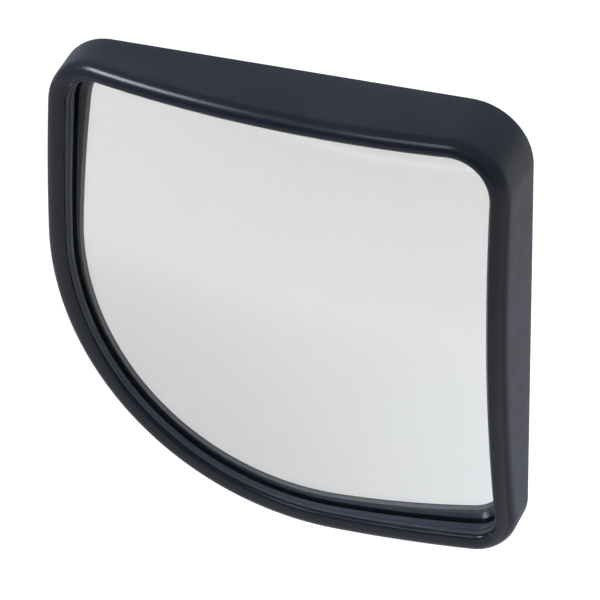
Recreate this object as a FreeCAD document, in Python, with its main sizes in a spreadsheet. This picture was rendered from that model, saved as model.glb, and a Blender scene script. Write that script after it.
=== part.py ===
import FreeCAD, Part
import math
import os
import Sketcher
from FreeCAD import Placement, Rotation, Vector

# A wedge-shaped convex mirror that sticks onto the outer corner of a vehicle's door mirror.
# Millimetres. +Z is up, +X is to the viewer's right and the mirror looks along -Y.
# The origin is the middle of the outline's box, on the rear face of the release liner.
#
# Planes at the back are distances in front of the origin. Insets run inward from the
# housing's outer wall. The crest of the rim lies on one large ball and the front of the
# glass on another, and both centres are off the outline's middle, which makes the wedge.
# Rim drops run backward from the crest's ball, glass drops from the glass's ball.

DIMENSIONS = {
    # outline of the housing
    "width": 82.5,
    "height": 84.0,
    "round_bottom_left": 50.4,
    "round_bottom_right": 7.6,
    "round_top_right": 10.8,
    "round_top_left": 8.8,
    "outer_inset": 0.0,
    # ball that carries the crest of the rim
    "rim_ball_radius": 174.0,
    "rim_ball_x": 13.0,
    "rim_ball_y": 154.1,
    "rim_ball_z": 13.4,
    "crest_drop": 0.0,
    # ball that carries the front of the glass
    "glass_ball_radius": 140.0,
    "glass_ball_x": 8.8,
    "glass_ball_y": 122.5,
    "glass_ball_z": 8.4,
    "glass_front_drop": 0.35,
    # planes from the back to the front
    "liner_rear": 0.0,
    "liner_front": 0.12,
    "tape_rear": 0.2,
    "tape_front": 1.12,
    "shell_rear": 1.2,
    "glue_front": 2.0,
    "plate_front": 2.8,
    "block_front": 24.0,
    # front housing
    "rim_outer_roll": 1.4,
    "rim_inner_roll": 0.9,
    "rim_inset": 2.9,
    "rim_step_drop": 1.35,
    "lip_inset": 3.25,
    "lip_edge_roll": 0.2,
    "wall_inset": 1.9,
    "rear_edge_roll": 0.4,
    # mirror glass and its layers
    "glass_inset": 2.1,
    "glass_rear_drop": 1.45,
    "film_inset": 2.5,
    "coating_rear_drop": 1.5,
    "paint_rear_drop": 1.6,
    # cushion, rear cover and its glue
    "seat_outer_inset": 3.4,
    "seat_inner_inset": 5.4,
    "cushion_rear_drop": 2.3,
    "cover_inset": 2.05,
    "glue_inset": 2.9,
    "rib_drop": 3.2,
    "rib_thickness": 1.4,
    "rib_pitch": 19.0,
    # mounting tape and release liner
    "tape_inset": 5.0,
    "tab_radius": 7.0,
    "tab_overhang": 3.5,
}

# each corner's name, the signs of its centre and the angle its arc starts at, in degrees
CORNERS = (
    ("bottom_right", 1, -1, 270),
    ("top_right", 1, 1, 0),
    ("top_left", -1, 1, 90),
    ("bottom_left", -1, -1, 180),
)

RIB_STEPS = (-1, 0, 1)

doc = FreeCAD.newDocument("wedge_mirror")
sheet = doc.addObject("Spreadsheet::Sheet", "dims")
for row, (alias, number) in enumerate(DIMENSIONS.items(), 1):
    sheet.set(f"A{row}", alias)
    sheet.set(f"B{row}", str(number))
    sheet.setAlias(f"B{row}", alias)
doc.recompute()

nodes = []


def value(alias):
    """Number held by one cell of the sheet."""
    return float(sheet.get(alias))


def keep(piece, node):
    """List a finished sub-part under its node name."""
    piece.Label = node
    nodes.append(piece)


def constrain(sketch, name, expression, *terms):
    """Add one dimension to a sketch and bind it to the sheet."""
    index = sketch.addConstraint(Sketcher.Constraint(*terms))
    sketch.renameConstraint(index, name)
    sketch.setExpression(f"Constraints.{name}", expression)


def draw_outline(sketch, inset):
    """Draw the housing's outline, moved inward by the cell named inset.

    It is a rectangle with a different round at each corner. The arcs and lines run
    anticlockwise from the bottom right.
    """
    half_width = value("width") / 2 - value(inset)
    half_height = value("height") / 2 - value(inset)
    arcs = []
    for corner, side_x, side_z, start in CORNERS:
        radius = value(f"round_{corner}") - value(inset)
        centre = Vector(side_x * (half_width - radius), side_z * (half_height - radius), 0)
        circle = Part.Circle(centre, Vector(0, 0, 1), radius)
        arc = Part.ArcOfCircle(circle, math.radians(start), math.radians(start + 90))
        arcs.append(sketch.addGeometry(arc, False))
        constrain(sketch, corner, f"dims.round_{corner} - dims.{inset}", "Radius", arcs[-1], radius)
    lines = []
    for number, arc in enumerate(arcs):
        following = arcs[(number + 1) % len(arcs)]
        ends = Part.LineSegment(sketch.getPoint(arc, 2), sketch.getPoint(following, 1))
        line = sketch.addGeometry(ends, False)
        sketch.addConstraint(Sketcher.Constraint(("Vertical", "Horizontal")[number % 2], line))
        sketch.addConstraint(Sketcher.Constraint("Tangent", arc, 2, line, 1))
        sketch.addConstraint(Sketcher.Constraint("Tangent", line, 2, following, 1))
        lines.append(line)
    right, top, left, bottom = lines
    half_x = f"dims.width / 2 - dims.{inset}"
    half_z = f"dims.height / 2 - dims.{inset}"
    constrain(sketch, "right", half_x, "DistanceX", -1, 1, right, 1, half_width)
    constrain(sketch, "top", half_z, "DistanceY", -1, 1, top, 1, half_height)
    constrain(sketch, "left", half_x, "DistanceX", left, 1, -1, 1, half_width)
    constrain(sketch, "bottom", half_z, "DistanceY", bottom, 1, -1, 1, half_height)


def prism(name, inset, rear, front):
    """Straight block of the inset outline between two planes."""
    sketch = doc.addObject("Sketcher::SketchObject", f"{name}_outline")
    sketch.Placement = Placement(Vector(0, 0, 0), Rotation(Vector(1, 0, 0), 90))
    sketch.setExpression("Placement.Base.y", f"-dims.{rear}")
    draw_outline(sketch, inset)
    block = doc.addObject("Part::Extrusion", f"{name}_block")
    block.Base = sketch
    block.DirMode = "Normal"
    block.Solid = True
    block.setExpression("LengthFwd", f"dims.{front} - dims.{rear}")
    return block


def ball(name, carrier, drop):
    """Ball whose surface lies behind the rim's or the glass's ball by the cell named drop."""
    sphere = doc.addObject("Part::Sphere", f"{name}_ball")
    sphere.setExpression("Radius", f"dims.{carrier}_ball_radius - dims.{drop}")
    for axis in "xyz":
        sphere.setExpression(f"Placement.Base.{axis}", f"dims.{carrier}_ball_{axis}")
    return sphere


def combine(kind, name, base, tool):
    """Cut or Common of two objects."""
    result = doc.addObject(f"Part::{kind}", name)
    result.Base = base
    result.Tool = tool
    return result


def fuse(name, pieces):
    """One solid made of several."""
    result = doc.addObject("Part::MultiFuse", name)
    result.Shapes = pieces
    return result


def domed(name, inset, carrier, drop):
    """Block of the inset outline whose front end lies on a ball at the cell named drop."""
    block = prism(name, inset, "shell_rear", "block_front")
    return combine("Common", f"{name}_domed", block, ball(name, carrier, drop))


def layer(name, inset, front_drop, rear_drop):
    """Sheet of the inset outline between two balls that share the glass's centre."""
    front = domed(name, inset, "glass", front_drop)
    return combine("Cut", name, front, ball(f"{name}_rear", "glass", rear_drop))


def ring(name, outer_inset, inner_inset, rear, front):
    """Band between two outlines and two planes."""
    outside = prism(f"{name}_outside", outer_inset, rear, front)
    inside = prism(f"{name}_inside", inner_inset, rear, front)
    return combine("Cut", name, outside, inside)


def edges_on_ball(shape, drop):
    """Outer and inner loops of edges round the face that lies on the rim's ball at a drop."""
    radius = value("rim_ball_radius") - value(drop)
    faces = [
        face
        for face in shape.Faces
        if isinstance(face.Surface, Part.Sphere) and abs(face.Surface.Radius - radius) < 1e-6
    ]
    outer = [edge for face in faces for edge in face.OuterWire.Edges]
    inner = [edge for face in faces for edge in face.Edges if not any(edge.isSame(other) for other in outer)]
    return outer, inner


def edges_at_rear(shape):
    """Outer loop of edges round the flat face at the housing's rear."""
    plane = -value("shell_rear")
    faces = [face for face in shape.Faces if abs(face.BoundBox.YMin - plane) + face.BoundBox.YLength < 1e-6]
    return faces[0].OuterWire.Edges


def rounded(name, base, rounds):
    """Fillet a base along pairs of an edge list and the radius's cell name."""
    doc.recompute()
    numbered = []
    for edges, roll in rounds:
        for number, edge in enumerate(base.Shape.Edges, 1):
            if any(edge.isSame(other) for other in edges(base.Shape)):
                numbered.append((number, value(roll), value(roll)))
    result = doc.addObject("Part::Fillet", name)
    result.Base = base
    result.Edges = numbered
    return result


def front_housing():
    """Outer wall, rolled rim and the stepped lip that holds the glass from the front."""
    blank = domed("blank", "outer_inset", "rim", "crest_drop")
    mouth_block = prism("mouth", "rim_inset", "shell_rear", "block_front")
    mouth = combine("Cut", "mouth", mouth_block, ball("mouth", "rim", "rim_step_drop"))
    recessed = combine("Cut", "recessed_blank", blank, mouth)
    rolled = rounded(
        "rolled_blank",
        recessed,
        [
            (lambda shape: edges_on_ball(shape, "crest_drop")[0], "rim_outer_roll"),
            (lambda shape: edges_on_ball(shape, "crest_drop")[1], "rim_inner_roll"),
            (edges_at_rear, "rear_edge_roll"),
        ],
    )
    opening = prism("opening", "lip_inset", "shell_rear", "block_front")
    cavity = domed("cavity", "wall_inset", "glass", "glass_front_drop")
    hollow = combine("Cut", "hollow_shell", rolled, fuse("hollow", [opening, cavity]))
    housing = rounded(
        "housing", hollow, [(lambda shape: edges_on_ball(shape, "rim_step_drop")[1], "lip_edge_roll")]
    )
    keep(housing, "front_housing")


def glass_stack():
    """Convex glass, its reflective coating, the paint behind it and the cushion at its edge."""
    keep(layer("glass", "glass_inset", "glass_front_drop", "glass_rear_drop"), "mirror_glass")
    keep(layer("coating", "film_inset", "glass_rear_drop", "coating_rear_drop"), "reflective_coating")
    keep(layer("paint", "film_inset", "coating_rear_drop", "paint_rear_drop"), "backing_paint")
    cushion_sheet = layer("cushion_sheet", "seat_outer_inset", "paint_rear_drop", "cushion_rear_drop")
    cushion_hole = prism("cushion_hole", "seat_inner_inset", "shell_rear", "block_front")
    keep(combine("Cut", "cushion", cushion_sheet, cushion_hole), "glass_cushion")


def rib(name, step, across):
    """One upright or level rib, a box as long as the cover."""
    box = doc.addObject("Part::Box", name)
    thickness = "dims.rib_thickness"
    offset = f"{step} * dims.rib_pitch - dims.rib_thickness / 2"
    box.setExpression("Length", "dims.width" if across else thickness)
    box.setExpression("Height", thickness if across else "dims.height")
    box.setExpression("Width", "dims.block_front - dims.glue_front")
    box.setExpression("Placement.Base.x", "-dims.width / 2" if across else offset)
    box.setExpression("Placement.Base.y", "-dims.block_front")
    box.setExpression("Placement.Base.z", offset if across else "-dims.height / 2")
    return box


def rear_cover():
    """Rear plate with a raised seat round its edge and ribs up to the glass's slope."""
    plate = prism("plate", "cover_inset", "glue_front", "plate_front")
    heel = prism("heel", "glue_inset", "shell_rear", "glue_front")
    seat_hole = prism("seat_hole", "seat_inner_inset", "shell_rear", "block_front")
    seat = combine("Cut", "seat", domed("seat", "seat_outer_inset", "glass", "cushion_rear_drop"), seat_hole)
    bars = [rib(f"rib_{'xz'[across]}_{step + 1}", step, across) for across in (0, 1) for step in RIB_STEPS]
    rib_limit = domed("rib_limit", "seat_outer_inset", "glass", "rib_drop")
    ribs = combine("Common", "ribs", fuse("rib_grid", bars), rib_limit)
    keep(fuse("cover", [plate, heel, seat, ribs]), "rear_cover")
    keep(ring("glue", "wall_inset", "glue_inset", "shell_rear", "glue_front"), "cover_glue_bead")


def plane_of(body, role):
    """Origin plane of a body, found by its role."""
    return next(feature for feature in body.Origin.OriginFeatures if feature.Role == role)


def pad(body, name, rear, front):
    """Empty sketch on the body's XZ plane and the pad that will come from it."""
    sketch = body.newObject("Sketcher::SketchObject", f"{name}_sketch")
    sketch.AttachmentSupport = (plane_of(body, "XZ_Plane"), [""])
    sketch.MapMode = "FlatFace"
    sketch.setExpression("AttachmentOffset.Base.z", f"dims.{rear}")
    solid = body.newObject("PartDesign::Pad", f"{name}_pad")
    solid.Profile = sketch
    solid.setExpression("Length", f"dims.{front} - dims.{rear}")
    return sketch


def tape_sheet(node, rear, front):
    """Flat sheet of the mounting tape's outline, as a body of its own."""
    body = doc.addObject("PartDesign::Body", f"{node}_body")
    draw_outline(pad(body, node, rear, front), "tape_inset")
    keep(body, node)
    return body


def mounting_tape():
    """Double-sided foam tape: two adhesive layers on a foam core, with a liner over the last."""
    tape_sheet("front_adhesive_layer", "tape_front", "shell_rear")
    tape_sheet("foam_tape_core", "tape_rear", "tape_front")
    tape_sheet("rear_adhesive_layer", "liner_front", "tape_rear")
    liner = tape_sheet("release_liner", "liner_rear", "liner_front")
    add_pull_tab(liner)


def add_pull_tab(liner):
    """Half-round tab that stands out of the liner's large rounded corner."""
    sketch = pad(liner, "pull_tab", "liner_rear", "liner_front")
    reach = value("round_bottom_left") - value("tape_inset") + value("tab_overhang") - value("tab_radius")
    slant = reach * math.sqrt(0.5)
    centre_x = value("round_bottom_left") - value("width") / 2 - slant
    centre_z = value("round_bottom_left") - value("height") / 2 - slant
    circle = Part.Circle(Vector(centre_x, centre_z, 0), Vector(0, 0, 1), value("tab_radius"))
    disc = sketch.addGeometry(circle, False)
    reach_cells = "(dims.round_bottom_left - dims.tape_inset + dims.tab_overhang - dims.tab_radius)"
    out_x = f"{reach_cells} * sqrt(0.5) + dims.width / 2 - dims.round_bottom_left"
    out_z = f"{reach_cells} * sqrt(0.5) + dims.height / 2 - dims.round_bottom_left"
    constrain(sketch, "radius", "dims.tab_radius", "Radius", disc, value("tab_radius"))
    constrain(sketch, "out_x", out_x, "DistanceX", disc, 3, -1, 1, -centre_x)
    constrain(sketch, "out_z", out_z, "DistanceY", disc, 3, -1, 1, -centre_z)


front_housing()
glass_stack()
rear_cover()
mounting_tape()
doc.recompute()

for item in doc.Objects:
    if {"Invalid", "Error"} & set(item.State):
        raise RuntimeError(f"{item.Name} did not compute: {item.State}")
for piece in nodes:
    if piece.Shape.isNull() or not piece.Shape.isValid():
        raise RuntimeError(f"{piece.Label} has no valid shape")

os.makedirs("parts", exist_ok=True)
for piece in nodes:
    piece.Shape.exportStep(f"parts/{piece.Label}.step")
    print(piece.Label, len(piece.Shape.Solids), "solid,", round(piece.Shape.Volume, 1), "mm3")
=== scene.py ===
import math

import bpy
from mathutils import Matrix, Vector


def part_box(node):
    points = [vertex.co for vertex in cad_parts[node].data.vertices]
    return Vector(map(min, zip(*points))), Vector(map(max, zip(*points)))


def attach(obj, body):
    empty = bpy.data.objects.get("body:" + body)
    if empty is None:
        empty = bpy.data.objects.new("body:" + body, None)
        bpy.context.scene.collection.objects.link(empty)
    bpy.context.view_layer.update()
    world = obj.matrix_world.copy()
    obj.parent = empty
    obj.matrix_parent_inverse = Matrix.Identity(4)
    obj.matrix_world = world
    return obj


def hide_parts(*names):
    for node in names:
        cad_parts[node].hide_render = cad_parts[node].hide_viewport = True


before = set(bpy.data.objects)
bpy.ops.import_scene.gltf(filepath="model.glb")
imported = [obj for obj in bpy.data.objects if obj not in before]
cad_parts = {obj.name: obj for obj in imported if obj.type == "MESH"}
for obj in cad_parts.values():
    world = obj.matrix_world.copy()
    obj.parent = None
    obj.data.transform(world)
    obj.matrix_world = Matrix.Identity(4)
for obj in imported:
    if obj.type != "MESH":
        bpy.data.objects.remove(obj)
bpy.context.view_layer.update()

# A wedge-shaped convex mirror for the outer corner of a vehicle's door mirror. Metres, in the
# CAD frame: +Z is up, +X is to the viewer's right and the mirror looks along -Y.

MM = 0.001

# Outline of the housing, and the balls that carry its rim and the front of the glass, as the
# CAD model has them.
shell_low, shell_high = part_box("front_housing")
HALF_WIDTH = (shell_high.x - shell_low.x) / 2
HALF_HEIGHT = (shell_high.z - shell_low.z) / 2
SHELL_REAR = shell_high.y
RIM_BALL = (Vector((13.0, 154.1, 13.4)) * MM, 174.0 * MM)
GLASS_BALL = (Vector((8.8, 122.5, 8.4)) * MM, 140.0 * MM)
# corner: signs of its centre, start angle in degrees, radius, spacing of the points along it
CORNERS = (
    (1, -1, 270, 7.6 * MM, 0.5 * MM),
    (1, 1, 0, 10.8 * MM, 0.6 * MM),
    (-1, 1, 90, 8.8 * MM, 0.5 * MM),
    (-1, -1, 180, 50.4 * MM, 1.0 * MM),
)
LINE_SPACING = 1.2 * MM
FEWEST_CORNER_STEPS = 8

# insets from the outline, and drops behind the glass ball
WALL = 1.9 * MM
GLASS_INSET = 2.1 * MM
GLASS_FRONT = 0.35 * MM
GLASS_REAR = 1.45 * MM
FILM_INSET = 2.5 * MM


# ---------------------------------------------------------------- camera, light and floor

CAMERA_AZIMUTH = 18.42
CAMERA_ELEVATION = 31.88
CAMERA_ROLL = -0.13
CAMERA_DISTANCE = 1.2203
CAMERA_LENS = 435.4
CAMERA_CLIP = (0.05, 50)
CAMERA_TARGET = Vector((1.827, -5.326, -0.329)) * MM


def add_camera():
    """Long-lens camera that looks down at the mirror from its front right."""
    camera = bpy.data.objects.new("camera", bpy.data.cameras.new("camera"))
    bpy.context.scene.collection.objects.link(camera)
    camera.data.lens = CAMERA_LENS
    turn = Matrix.Rotation(math.radians(CAMERA_AZIMUTH), 4, "Z")
    tilt = Matrix.Rotation(math.radians(90 - CAMERA_ELEVATION), 4, "X")
    roll = Matrix.Rotation(math.radians(CAMERA_ROLL), 4, "Z")
    backed_off = Matrix.Translation((0, 0, CAMERA_DISTANCE))
    camera.matrix_world = Matrix.Translation(CAMERA_TARGET) @ turn @ tilt @ roll @ backed_off
    camera.data.clip_start, camera.data.clip_end = CAMERA_CLIP
    bpy.context.scene.camera = camera


def add_plane(name, centre, along, up, size):
    """Flat stage card with a centre, two directions and a width and height."""
    half_along = Vector(along).normalized() * size[0] / 2
    half_up = Vector(up).normalized() * size[1] / 2
    signs = ((-1, -1), (1, -1), (1, 1), (-1, 1))
    corners = [Vector(centre) + a * half_along + b * half_up for a, b in signs]
    mesh = bpy.data.meshes.new(name)
    mesh.from_pydata(corners, [], [(0, 1, 2, 3)])
    card = bpy.data.objects.new(name, mesh)
    bpy.context.scene.collection.objects.link(card)
    return card


def add_area(name, towards, distance, size, power, beam):
    """Softbox in a direction from the object, facing it, with the angle of its beam in degrees."""
    light = bpy.data.lights.new(name, "AREA")
    light.shape = "RECTANGLE"
    light.size, light.size_y = size
    light.energy = power
    light.spread = math.radians(beam)
    light.color = SOFTBOX_COLOUR
    lamp = bpy.data.objects.new(name, light)
    bpy.context.scene.collection.objects.link(lamp)
    direction = Vector(towards).normalized()
    lamp.location = direction * distance
    lamp.rotation_euler = direction.to_track_quat("Z", "Y").to_euler()
    lamp.visible_camera = False


def new_material(name):
    """Empty node material and its Principled shader."""
    material = bpy.data.materials.new(name)
    material.use_nodes = True
    shader = material.node_tree.nodes["Principled BSDF"]
    return material, shader


FLOOR_LEVEL = -0.35
FLOOR_SIZE = (12, 12)
FLOOR_WHITE = (0.9, 0.9, 0.9)
# painted shade: a soft greyer patch painted on the floor below the object, which gives what the
# mirror reflects its tones
PAINTED_SHADE_GREY = (0.575, 0.56, 0.545)
PAINTED_SHADE_SHIFT = (0.30, 0.06, 0.70)
PAINTED_SHADE_SCALE = (2.0, 2.0, 2.0)

# cards that the camera does not see: a dark one behind it, a grey one on the floor at the back
DARK_CARD_CENTRE = (0, -2.4, 0.72)
DARK_CARD_SIZE = (4.4, 1.7)
DARK_CARD_GREY = 0.01
GREY_CARD_CENTRE = (-0.90, 1.5, FLOOR_LEVEL + 0.005)
GREY_CARD_SIZE = (3.3, 3.0)
GREY_CARD_GREY = 0.38
CARD_BLUE_GAIN = 1.1

SUN_ENERGY = 3.1
SUN_ANGLE = 70
SUN_COLOUR = (1.0, 0.985, 0.945)
SUN_TURN = (-12, 6, 0)

SOFTBOX_COLOUR = (0.80, 0.88, 1.0)
# softbox: name, direction, distance, size, power, beam
SOFTBOXES = (
    ("softbox_left", (-0.62, -0.36, 0.70), 1.5, (0.66, 0.66), 1.2, 24),
    ("softbox_front", (-0.10, -0.68, 0.72), 1.7, (0.50, 0.80), 0.26, 24),
)

SKY = (0.35, 0.38, 0.45)
ZENITH = (0.10, 0.11, 0.14)
# the sky darkens between these two heights of a direction
ZENITH_RANGE = (0.80, 0.88)


def floor_paint_and_painted_shade():
    """White paint with one soft greyer patch of painted shade, placed by the floor's own
    coordinates.
    """
    material, shader = new_material("floor_paint_and_painted_shade")
    nodes, links = material.node_tree.nodes, material.node_tree.links
    painted_shade = nodes.new("ShaderNodeTexGradient")
    painted_shade.gradient_type = "SPHERICAL"
    place = nodes.new("ShaderNodeTexCoord")
    shift = nodes.new("ShaderNodeMapping")
    shift.inputs["Location"].default_value = PAINTED_SHADE_SHIFT
    shift.inputs["Scale"].default_value = PAINTED_SHADE_SCALE
    links.new(place.outputs["Object"], shift.inputs["Vector"])
    links.new(shift.outputs["Vector"], painted_shade.inputs["Vector"])
    paint = ramp(material, painted_shade.outputs["Fac"], FLOOR_WHITE, PAINTED_SHADE_GREY, 0.0, 1.0)
    links.new(paint, shader.inputs["Base Color"])
    shader.inputs["Roughness"].default_value = 0.9
    shader.inputs["Specular IOR Level"].default_value = 0.1
    return material


def hide_card(card, grey):
    """Give a card its cloth; neither the camera nor a shadow shows the card."""
    material, shader = new_material(f"{card.name}_cloth")
    shader.inputs["Base Color"].default_value = (grey, grey, grey * CARD_BLUE_GAIN, 1)
    shader.inputs["Roughness"].default_value = 1.0
    shader.inputs["Specular IOR Level"].default_value = 0.0
    card.data.materials.append(material)
    card.visible_camera = False
    card.visible_shadow = False


def studio_world():
    """Sky that is darker overhead, and plain white where the camera sees past the floor."""
    world = bpy.data.worlds.new("studio")
    bpy.context.scene.world = world
    world.use_nodes = True
    nodes, links = world.node_tree.nodes, world.node_tree.links
    background = nodes["Background"]
    place = nodes.new("ShaderNodeTexCoord")
    height = nodes.new("ShaderNodeSeparateXYZ")
    links.new(place.outputs["Generated"], height.inputs["Vector"])
    sky = ramp(world, height.outputs["Z"], SKY, ZENITH, *ZENITH_RANGE)
    links.new(sky, background.inputs["Color"])
    white = nodes.new("ShaderNodeBackground")
    white.inputs["Color"].default_value = (1, 1, 1, 1)
    rays = nodes.new("ShaderNodeLightPath")
    mix = nodes.new("ShaderNodeMixShader")
    links.new(rays.outputs["Is Camera Ray"], mix.inputs["Fac"])
    links.new(background.outputs["Background"], mix.inputs[1])
    links.new(white.outputs["Background"], mix.inputs[2])
    links.new(mix.outputs["Shader"], nodes["World Output"].inputs["Surface"])


def add_stage():
    """Floor, two cards, an even overhead light, two softboxes and the sky."""
    along, back, up = (1, 0, 0), (0, 1, 0), (0, 0, 1)
    floor = add_plane("floor", (0, 0, FLOOR_LEVEL), along, back, FLOOR_SIZE)
    floor.data.materials.append(floor_paint_and_painted_shade())
    dark_card = add_plane("dark_card", DARK_CARD_CENTRE, along, up, DARK_CARD_SIZE)
    grey_card = add_plane("grey_card", GREY_CARD_CENTRE, along, back, GREY_CARD_SIZE)
    hide_card(dark_card, DARK_CARD_GREY)
    hide_card(grey_card, GREY_CARD_GREY)
    grey_card.visible_diffuse = False

    sun = bpy.data.objects.new("even_light", bpy.data.lights.new("even_light", "SUN"))
    bpy.context.scene.collection.objects.link(sun)
    sun.data.energy = SUN_ENERGY
    sun.data.angle = math.radians(SUN_ANGLE)
    sun.data.color = SUN_COLOUR
    sun.rotation_euler = [math.radians(angle) for angle in SUN_TURN]
    sun.visible_glossy = False
    for softbox in SOFTBOXES:
        add_area(*softbox)

    studio_world()
    bpy.context.scene.view_settings.view_transform = "Standard"


# ---------------------------------------------------------------- materials


def noise(nodes, scale, detail):
    """Noise texture, with its scale in cells per metre."""
    texture = nodes.new("ShaderNodeTexNoise")
    texture.inputs["Scale"].default_value = scale
    texture.inputs["Detail"].default_value = detail
    return texture


def object_space(material, textures):
    """Feed object coordinates to textures."""
    nodes, links = material.node_tree.nodes, material.node_tree.links
    place = nodes.new("ShaderNodeTexCoord")
    for texture in textures:
        links.new(place.outputs["Object"], texture.inputs["Vector"])


def ramp(material, source, low, high, start=0.3, end=0.7):
    """Colour ramp on a source between two colours."""
    nodes, links = material.node_tree.nodes, material.node_tree.links
    blend = nodes.new("ShaderNodeValToRGB")
    blend.color_ramp.elements[0].position = start
    blend.color_ramp.elements[1].position = end
    blend.color_ramp.elements[0].color = (*low, 1)
    blend.color_ramp.elements[1].color = (*high, 1)
    links.new(source, blend.inputs["Fac"])
    return blend.outputs["Color"]


def spread(material, source, low, high):
    """Map a 0 to 1 source onto a range."""
    nodes, links = material.node_tree.nodes, material.node_tree.links
    rescale = nodes.new("ShaderNodeMapRange")
    rescale.inputs["To Min"].default_value = low
    rescale.inputs["To Max"].default_value = high
    links.new(source, rescale.inputs["Value"])
    return rescale.outputs["Result"]


def bump(material, height, distance, strength):
    """Bump of a height source."""
    nodes, links = material.node_tree.nodes, material.node_tree.links
    relief = nodes.new("ShaderNodeBump")
    relief.inputs["Distance"].default_value = distance
    relief.inputs["Strength"].default_value = strength
    links.new(height, relief.inputs["Height"])
    return relief.outputs["Normal"]


GRAIN_DEPTH = 0.07 * MM


def moulded_plastic(name, tones, roughness, grain, specular=0.2, fine=4200):
    """Black moulded plastic: spark-eroded grain, slight tone and gloss changes."""
    material, shader = new_material(name)
    nodes, links = material.node_tree.nodes, material.node_tree.links
    shader.inputs["Specular IOR Level"].default_value = specular
    tone = noise(nodes, 60, 4)
    gloss = noise(nodes, 350, 3)
    skin = noise(nodes, fine, 2)
    object_space(material, (tone, gloss, skin))
    links.new(ramp(material, tone.outputs["Fac"], *tones), shader.inputs["Base Color"])
    links.new(spread(material, gloss.outputs["Fac"], *roughness), shader.inputs["Roughness"])
    relief = bump(material, skin.outputs["Fac"], GRAIN_DEPTH, grain)
    links.new(relief, shader.inputs["Normal"])
    return material


GLASS_TINT = (0.965, 0.985, 0.98, 1)
GLASS_INDEX = 1.52


def clear_glass():
    """Float glass with a very slight green tint and faint wiping marks."""
    material, shader = new_material("clear_float_glass")
    nodes, links = material.node_tree.nodes, material.node_tree.links
    shader.inputs["Base Color"].default_value = GLASS_TINT
    shader.inputs["Transmission Weight"].default_value = 1.0
    shader.inputs["IOR"].default_value = GLASS_INDEX
    smear = noise(nodes, 40, 5)
    object_space(material, (smear,))
    links.new(spread(material, smear.outputs["Fac"], 0.0, 0.012), shader.inputs["Roughness"])
    return material


SILVER_TONES = ((0.716, 0.694, 0.692), (0.731, 0.709, 0.707))


def mirror_silver():
    """Vacuum-coated reflective layer."""
    material, shader = new_material("mirror_silver")
    nodes, links = material.node_tree.nodes, material.node_tree.links
    shader.inputs["Metallic"].default_value = 1.0
    haze = noise(nodes, 25, 4)
    object_space(material, (haze,))
    links.new(ramp(material, haze.outputs["Fac"], *SILVER_TONES), shader.inputs["Base Color"])
    links.new(spread(material, haze.outputs["Fac"], 0.0, 0.02), shader.inputs["Roughness"])
    return material


def speckled(name, tones, scale, roughness, relief_depth, relief_scale):
    """Matte material with soft mottling and a fine surface relief."""
    material, shader = new_material(name)
    nodes, links = material.node_tree.nodes, material.node_tree.links
    tone = noise(nodes, scale, 5)
    relief = noise(nodes, relief_scale, 4)
    object_space(material, (tone, relief))
    links.new(ramp(material, tone.outputs["Fac"], *tones), shader.inputs["Base Color"])
    rough = spread(material, relief.outputs["Fac"], roughness - 0.1, roughness + 0.1)
    links.new(rough, shader.inputs["Roughness"])
    links.new(bump(material, relief.outputs["Fac"], relief_depth, 0.6), shader.inputs["Normal"])
    return material


# ---------------------------------------------------------------- geometry


def outline():
    """Points of the housing's outline with their outward normals, anticlockwise from the front."""
    points = []
    for side_x, side_z, start, radius, spacing in CORNERS:
        centre = (side_x * (HALF_WIDTH - radius), side_z * (HALF_HEIGHT - radius))
        count = max(FEWEST_CORNER_STEPS, round(radius * math.pi / 2 / spacing))
        for step in range(count + 1):
            angle = math.radians(start + 90 * step / count)
            normal = (math.cos(angle), math.sin(angle))
            points.append((centre[0] + radius * normal[0], centre[1] + radius * normal[1], *normal))
    filled = []
    for here, there in zip(points, points[1:] + points[:1]):
        filled.append(here)
        length = math.hypot(there[0] - here[0], there[1] - here[1])
        pieces = round(length / LINE_SPACING)
        for step in range(1, pieces):
            share = step / pieces
            x = here[0] + (there[0] - here[0]) * share
            z = here[1] + (there[1] - here[1]) * share
            filled.append((x, z, here[2], here[3]))
    return filled


OUTLINE = outline()


def on_ball(ball, x, z, drop):
    """Depth of the surface that lies behind a ball by a drop."""
    centre, radius = ball
    reach = (x - centre.x) ** 2 + (z - centre.z) ** 2
    return centre.y - math.sqrt((radius - drop) ** 2 - reach)


def loop_on(ball, inset, drop=0.0):
    """Ring of points at an inset, behind a ball by a drop."""
    ring = []
    for x, z, normal_x, normal_z in OUTLINE:
        x -= normal_x * inset
        z -= normal_z * inset
        ring.append((x, on_ball(ball, x, z, drop), z))
    return ring


def flat_loop(inset, plane):
    """Ring of points at an inset, on a plane."""
    return [
        (x - normal_x * inset, plane, z - normal_z * inset)
        for x, z, normal_x, normal_z in OUTLINE
    ]


SHARP_ANGLE = 38


def add_mesh(name, verts, faces, materials):
    """Object of a mesh, with smooth shading that breaks at sharp edges."""
    mesh = bpy.data.meshes.new(name)
    mesh.from_pydata(verts, [], faces)
    mesh.shade_smooth()
    mesh.set_sharp_from_angle(angle=math.radians(SHARP_ANGLE))
    for material in materials:
        mesh.materials.append(material)
    piece = bpy.data.objects.new(name, mesh)
    bpy.context.scene.collection.objects.link(piece)
    return piece


def band_faces(count, first, second):
    """Quads between two rings that start at two vertex numbers."""
    return [
        (first + step, first + (step + 1) % count, second + (step + 1) % count, second + step)
        for step in range(count)
    ]


def swept_ring(name, rings, materials, starts):
    """Closed tube through rings; each ring number in starts brings in the next material."""
    count = len(OUTLINE)
    verts = [point for ring in rings for point in ring]
    faces = []
    for number in range(len(rings)):
        following = (number + 1) % len(rings)
        faces += band_faces(count, number * count, following * count)
    piece = add_mesh(name, verts, faces, materials)
    for number, polygon in enumerate(piece.data.polygons):
        polygon.material_index = sum(number >= start * count for start in starts)
    return piece


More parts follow.
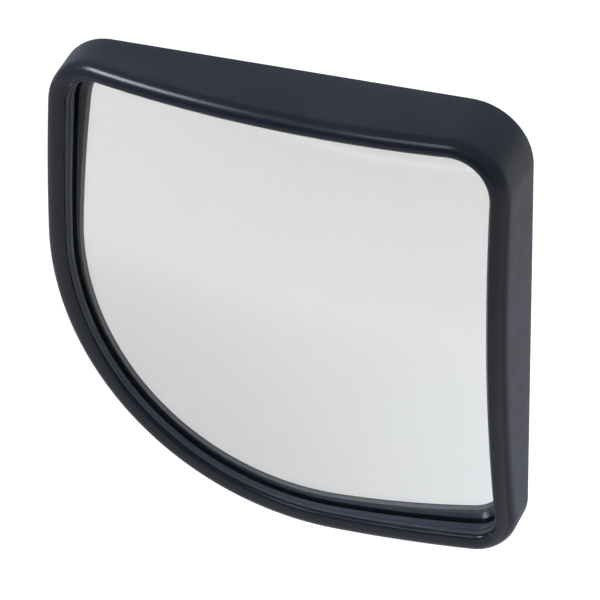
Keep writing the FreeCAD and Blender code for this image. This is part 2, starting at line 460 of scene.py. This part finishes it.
def arc(centre_inset, centre_drop, radius, start, end, steps):
    """Profile points (inset, drop) on an arc, with angles in degrees from the inward direction."""
    points = []
    for step in range(steps + 1):
        angle = math.radians(start + (end - start) * step / steps)
        inset = centre_inset + radius * math.cos(angle)
        points.append((inset, centre_drop - radius * math.sin(angle)))
    return points


# the outer roll grows towards the right and the top, the inner edge towards the left and bottom
OUTER_ROLL = 1.3 * MM
RIGHT_ROLL_GAIN = 1.3 * MM
TOP_ROLL_GAIN = 0.7 * MM
RIM_INSET = 2.95 * MM
INNER_GAIN = 0.45 * MM
STEP_DROP = 1.2 * MM
FALL_DROP = STEP_DROP - 0.1 * MM
REAR_ROLL = 0.4 * MM
# the rim is set back by a hair so that it stays inside the CAD box
SINK = 0.12 * MM

# groove at the foot of the rim: offset from the foot and depth below the step
GROOVE = ((0.02 * MM, -0.04 * MM), (0.06 * MM, -0.01 * MM), (0.12 * MM, -0.03 * MM))
GROOVE_WIDTH = 0.15 * MM
GROOVE_RISE = 0.04 * MM
# the lip's two steps, with heights as shares of the way from the step to the glass
LIP_ROLL = 0.24 * MM
LEDGE = ((0.01 * MM, 0.30), (0.05 * MM, 0.36))
LEDGE_WIDTH = 0.05 * MM
LEDGE_SHARE = 0.38
EDGE_SHARES = (0.72, 0.99)
EDGE_UNDERCUT = 0.02 * MM
ROLL_ARC = (90, 8, 6)

REAR_STEPS = 4
WALL_STEPS = 6
OUTER_STEPS = 12
INNER_STEPS = 15


def inner_edge(normal_x, normal_z):
    """Inset of the step at the foot of the rim, wider at the left and the bottom."""
    return RIM_INSET + INNER_GAIN * (max(0.0, -normal_x) ** 2 + max(0.0, -normal_z) ** 2)


def rim_loop(profile):
    """Ring of points on the rim, from a profile that takes the local outer roll and inner edge."""
    ring = []
    for x, z, normal_x, normal_z in OUTLINE:
        to_right = RIGHT_ROLL_GAIN * max(0.0, normal_x) ** 2
        to_top = TOP_ROLL_GAIN * max(0.0, normal_z) ** 2
        inset, drop = profile(OUTER_ROLL + to_right + to_top, inner_edge(normal_x, normal_z))
        x -= normal_x * inset
        z -= normal_z * inset
        ring.append((x, on_ball(RIM_BALL, x, z, drop + SINK), z))
    return ring


def outer_roll(angle):
    """Profile of the round from the outer wall (0 degrees) to the crest (90 degrees)."""
    turn = math.radians(angle)
    return lambda roll, edge: (roll * (1 - math.cos(turn)), roll * (1 - math.sin(turn)))


def inner_fall(angle):
    """Profile of the fall from the crest (0 degrees) to the step before the lip (90 degrees)."""
    turn = math.radians(angle)
    drop = FALL_DROP * (1 - math.cos(turn))
    return lambda roll, edge: (roll + (edge - roll) * math.sin(turn), drop)


def lip_loop(offset, depth, share):
    """Ring on the lip, at an offset from the rim's foot.

    It lies at a depth below the step, moved on by a share of the way to the glass.
    """
    ring = []
    for x, z, normal_x, normal_z in OUTLINE:
        inset = inner_edge(normal_x, normal_z) + offset
        x -= normal_x * inset
        z -= normal_z * inset
        step = on_ball(RIM_BALL, x, z, STEP_DROP + SINK + depth)
        glass = on_ball(GLASS_BALL, x, z, GLASS_FRONT)
        ring.append((x, step + (glass - step) * share, z))
    return ring


def housing_shell(materials):
    """Outer wall, rolled rim, stepped lip and the inside of the wall, as one closed skin."""
    rings = []
    for step in range(REAR_STEPS + 1):
        angle = math.radians(90 * step / REAR_STEPS)
        inset = REAR_ROLL * (1 - math.sin(angle))
        rings.append(flat_loop(inset, SHELL_REAR - REAR_ROLL * (1 - math.cos(angle))))
    rear_ring = rings[-1]
    front_ring = rim_loop(outer_roll(0))
    for step in range(1, WALL_STEPS):
        share = step / WALL_STEPS
        rings.append([
            (rear[0], rear[1] + (front[1] - rear[1]) * share, rear[2])
            for rear, front in zip(rear_ring, front_ring)
        ])
    rim_start = len(rings) + 2
    for step in range(OUTER_STEPS + 1):
        rings.append(rim_loop(outer_roll(90 * step / OUTER_STEPS)))
    for step in range(1, INNER_STEPS + 1):
        rings.append(rim_loop(inner_fall(90 * step / INNER_STEPS)))

    lip_start = len(rings)
    rings += [lip_loop(offset, depth, 0.0) for offset, depth in GROOVE]
    edge = GROOVE_WIDTH
    for offset, depth in arc(edge, LIP_ROLL - GROOVE_RISE, LIP_ROLL, *ROLL_ARC):
        rings.append(lip_loop(offset, depth, 0.0))
    edge += LIP_ROLL
    rings += [lip_loop(edge + offset, 0.0, share) for offset, share in LEDGE]
    edge += LEDGE_WIDTH
    for offset, depth in arc(edge, LIP_ROLL, LIP_ROLL, *ROLL_ARC):
        rings.append(lip_loop(offset, depth, LEDGE_SHARE))
    edge += LIP_ROLL
    rings += [lip_loop(edge, 0.0, share) for share in EDGE_SHARES]
    rings.append(lip_loop(edge + EDGE_UNDERCUT, 0.0, 1.0))
    rings.append(loop_on(GLASS_BALL, WALL, GLASS_FRONT))
    rings.append(flat_loop(WALL, SHELL_REAR))
    return swept_ring("housing_shell", rings, materials, (rim_start, lip_start))


SHRINK_STEPS = 36


def dished_sheet(name, inset, front_drop, rear_drop, materials, arris=0.0):
    """Closed sheet between two balls, meshed in rings that shrink to the middle."""
    count = len(OUTLINE)
    edge = loop_on(GLASS_BALL, inset)
    middle_x = sum(point[0] for point in edge) / count
    middle_z = sum(point[2] for point in edge) / count
    verts, faces = [], []

    def add_side(drop, flip):
        start = len(verts)
        rim = loop_on(GLASS_BALL, inset + arris)
        for number in range(SHRINK_STEPS):
            share = 1 - number / SHRINK_STEPS
            for x, _, z in rim:
                at_x = middle_x + (x - middle_x) * share
                at_z = middle_z + (z - middle_z) * share
                verts.append((at_x, on_ball(GLASS_BALL, at_x, at_z, drop), at_z))
        tip = len(verts)
        verts.append((middle_x, on_ball(GLASS_BALL, middle_x, middle_z, drop), middle_z))
        for number in range(SHRINK_STEPS - 1):
            quads = band_faces(count, start + number * count, start + (number + 1) * count)
            faces.extend(quad[::-1] if flip else quad for quad in quads)
        last = start + (SHRINK_STEPS - 1) * count
        for step in range(count):
            triangle = (last + step, last + (step + 1) % count, tip)
            faces.append(triangle[::-1] if flip else triangle)
        return start

    front = add_side(front_drop, False)
    rear = add_side(rear_drop, True)
    belts = [front]
    if arris:
        for drop in (front_drop + arris, rear_drop - arris):
            belts.append(len(verts))
            verts.extend(loop_on(GLASS_BALL, inset, drop))
    belts.append(rear)
    for near, far in zip(belts, belts[1:]):
        faces.extend(quad[::-1] for quad in band_faces(count, near, far))
    return add_mesh(name, verts, faces, materials)


def settle(piece, body, slot, *nodes):
    """Ride a piece on its body and hide the CAD nodes it stands for; the slot is not used."""
    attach(piece, body)
    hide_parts(*nodes)


def dress(node, material):
    """Give a CAD node its material."""
    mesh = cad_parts[node].data
    mesh.materials.clear()
    mesh.materials.append(material)


add_camera()
add_stage()

BLACK = ((0.0085, 0.0095, 0.014), (0.0125, 0.014, 0.0205))
# the lip's black is lighter than the rest of the same moulding: painted light for the light that
# the lip catches
LIP_BLACK_PAINTED_LIGHT = ((0.038, 0.042, 0.055), (0.048, 0.053, 0.069))
GLASS_ARRIS = 0.25 * MM
# hairline gaps before the glass and the silver, and how far behind the glass the silver ends
GLASS_GAP = 0.01 * MM
SILVER_GAP = 0.012 * MM
SILVER_REAR = 0.05 * MM

plastics = [
    moulded_plastic("grained_black_abs", BLACK, (0.3, 0.4), 1.0, fine=3000),
    moulded_plastic("satin_black_abs", BLACK, (0.18, 0.24), 0.2),
    # lip plastic: real gloss, with the lighter black of painted light
    moulded_plastic("gloss_black_abs_painted_light", LIP_BLACK_PAINTED_LIGHT, (0.27, 0.35), 0.1, specular=0.25),
]
settle(housing_shell(plastics), "mirror", "black_housing", "front_housing")
glass = dished_sheet(
    "convex_glass", GLASS_INSET, GLASS_FRONT + GLASS_GAP, GLASS_REAR, [clear_glass()], GLASS_ARRIS
)
settle(glass, "mirror", "clear_glass", "mirror_glass")
silver = dished_sheet(
    "silver_layer", FILM_INSET, GLASS_REAR + SILVER_GAP, GLASS_REAR + SILVER_REAR, [mirror_silver()]
)
settle(silver, "mirror", "mirror_coating", "reflective_coating")

PAINT_GREY = ((0.14, 0.15, 0.16), (0.18, 0.19, 0.2))
FOAM_BLACK = ((0.02, 0.02, 0.02), (0.04, 0.04, 0.04))
GLUE_AMBER = ((0.5, 0.46, 0.36), (0.62, 0.58, 0.47))
GLUE_CLOUD = ((0.7, 0.69, 0.65), (0.8, 0.79, 0.75))
FOAM_WHITE = ((0.76, 0.76, 0.74), (0.86, 0.86, 0.84))
LINER_YELLOW = ((0.80, 0.74, 0.50), (0.86, 0.80, 0.58))

dress("backing_paint", speckled("grey_backing_paint", PAINT_GREY, 90, 0.7, 0.02 * MM, 900))
dress("glass_cushion", speckled("black_foam_ring", FOAM_BLACK, 1500, 0.9, 0.08 * MM, 2500))
dress("rear_cover", moulded_plastic("matte_black_cover", BLACK, (0.5, 0.65), 0.4))
dress("cover_glue_bead", speckled("cloudy_glue", GLUE_AMBER, 300, 0.3, 0.05 * MM, 700))
tape_glue = speckled("acrylic_adhesive", GLUE_CLOUD, 400, 0.25, 0.01 * MM, 900)
dress("front_adhesive_layer", tape_glue)
dress("rear_adhesive_layer", tape_glue)
dress("foam_tape_core", speckled("white_tape_foam", FOAM_WHITE, 900, 0.85, 0.1 * MM, 2200))
dress("release_liner", speckled("yellow_liner_paper", LINER_YELLOW, 250, 0.5, 0.02 * MM, 1800))
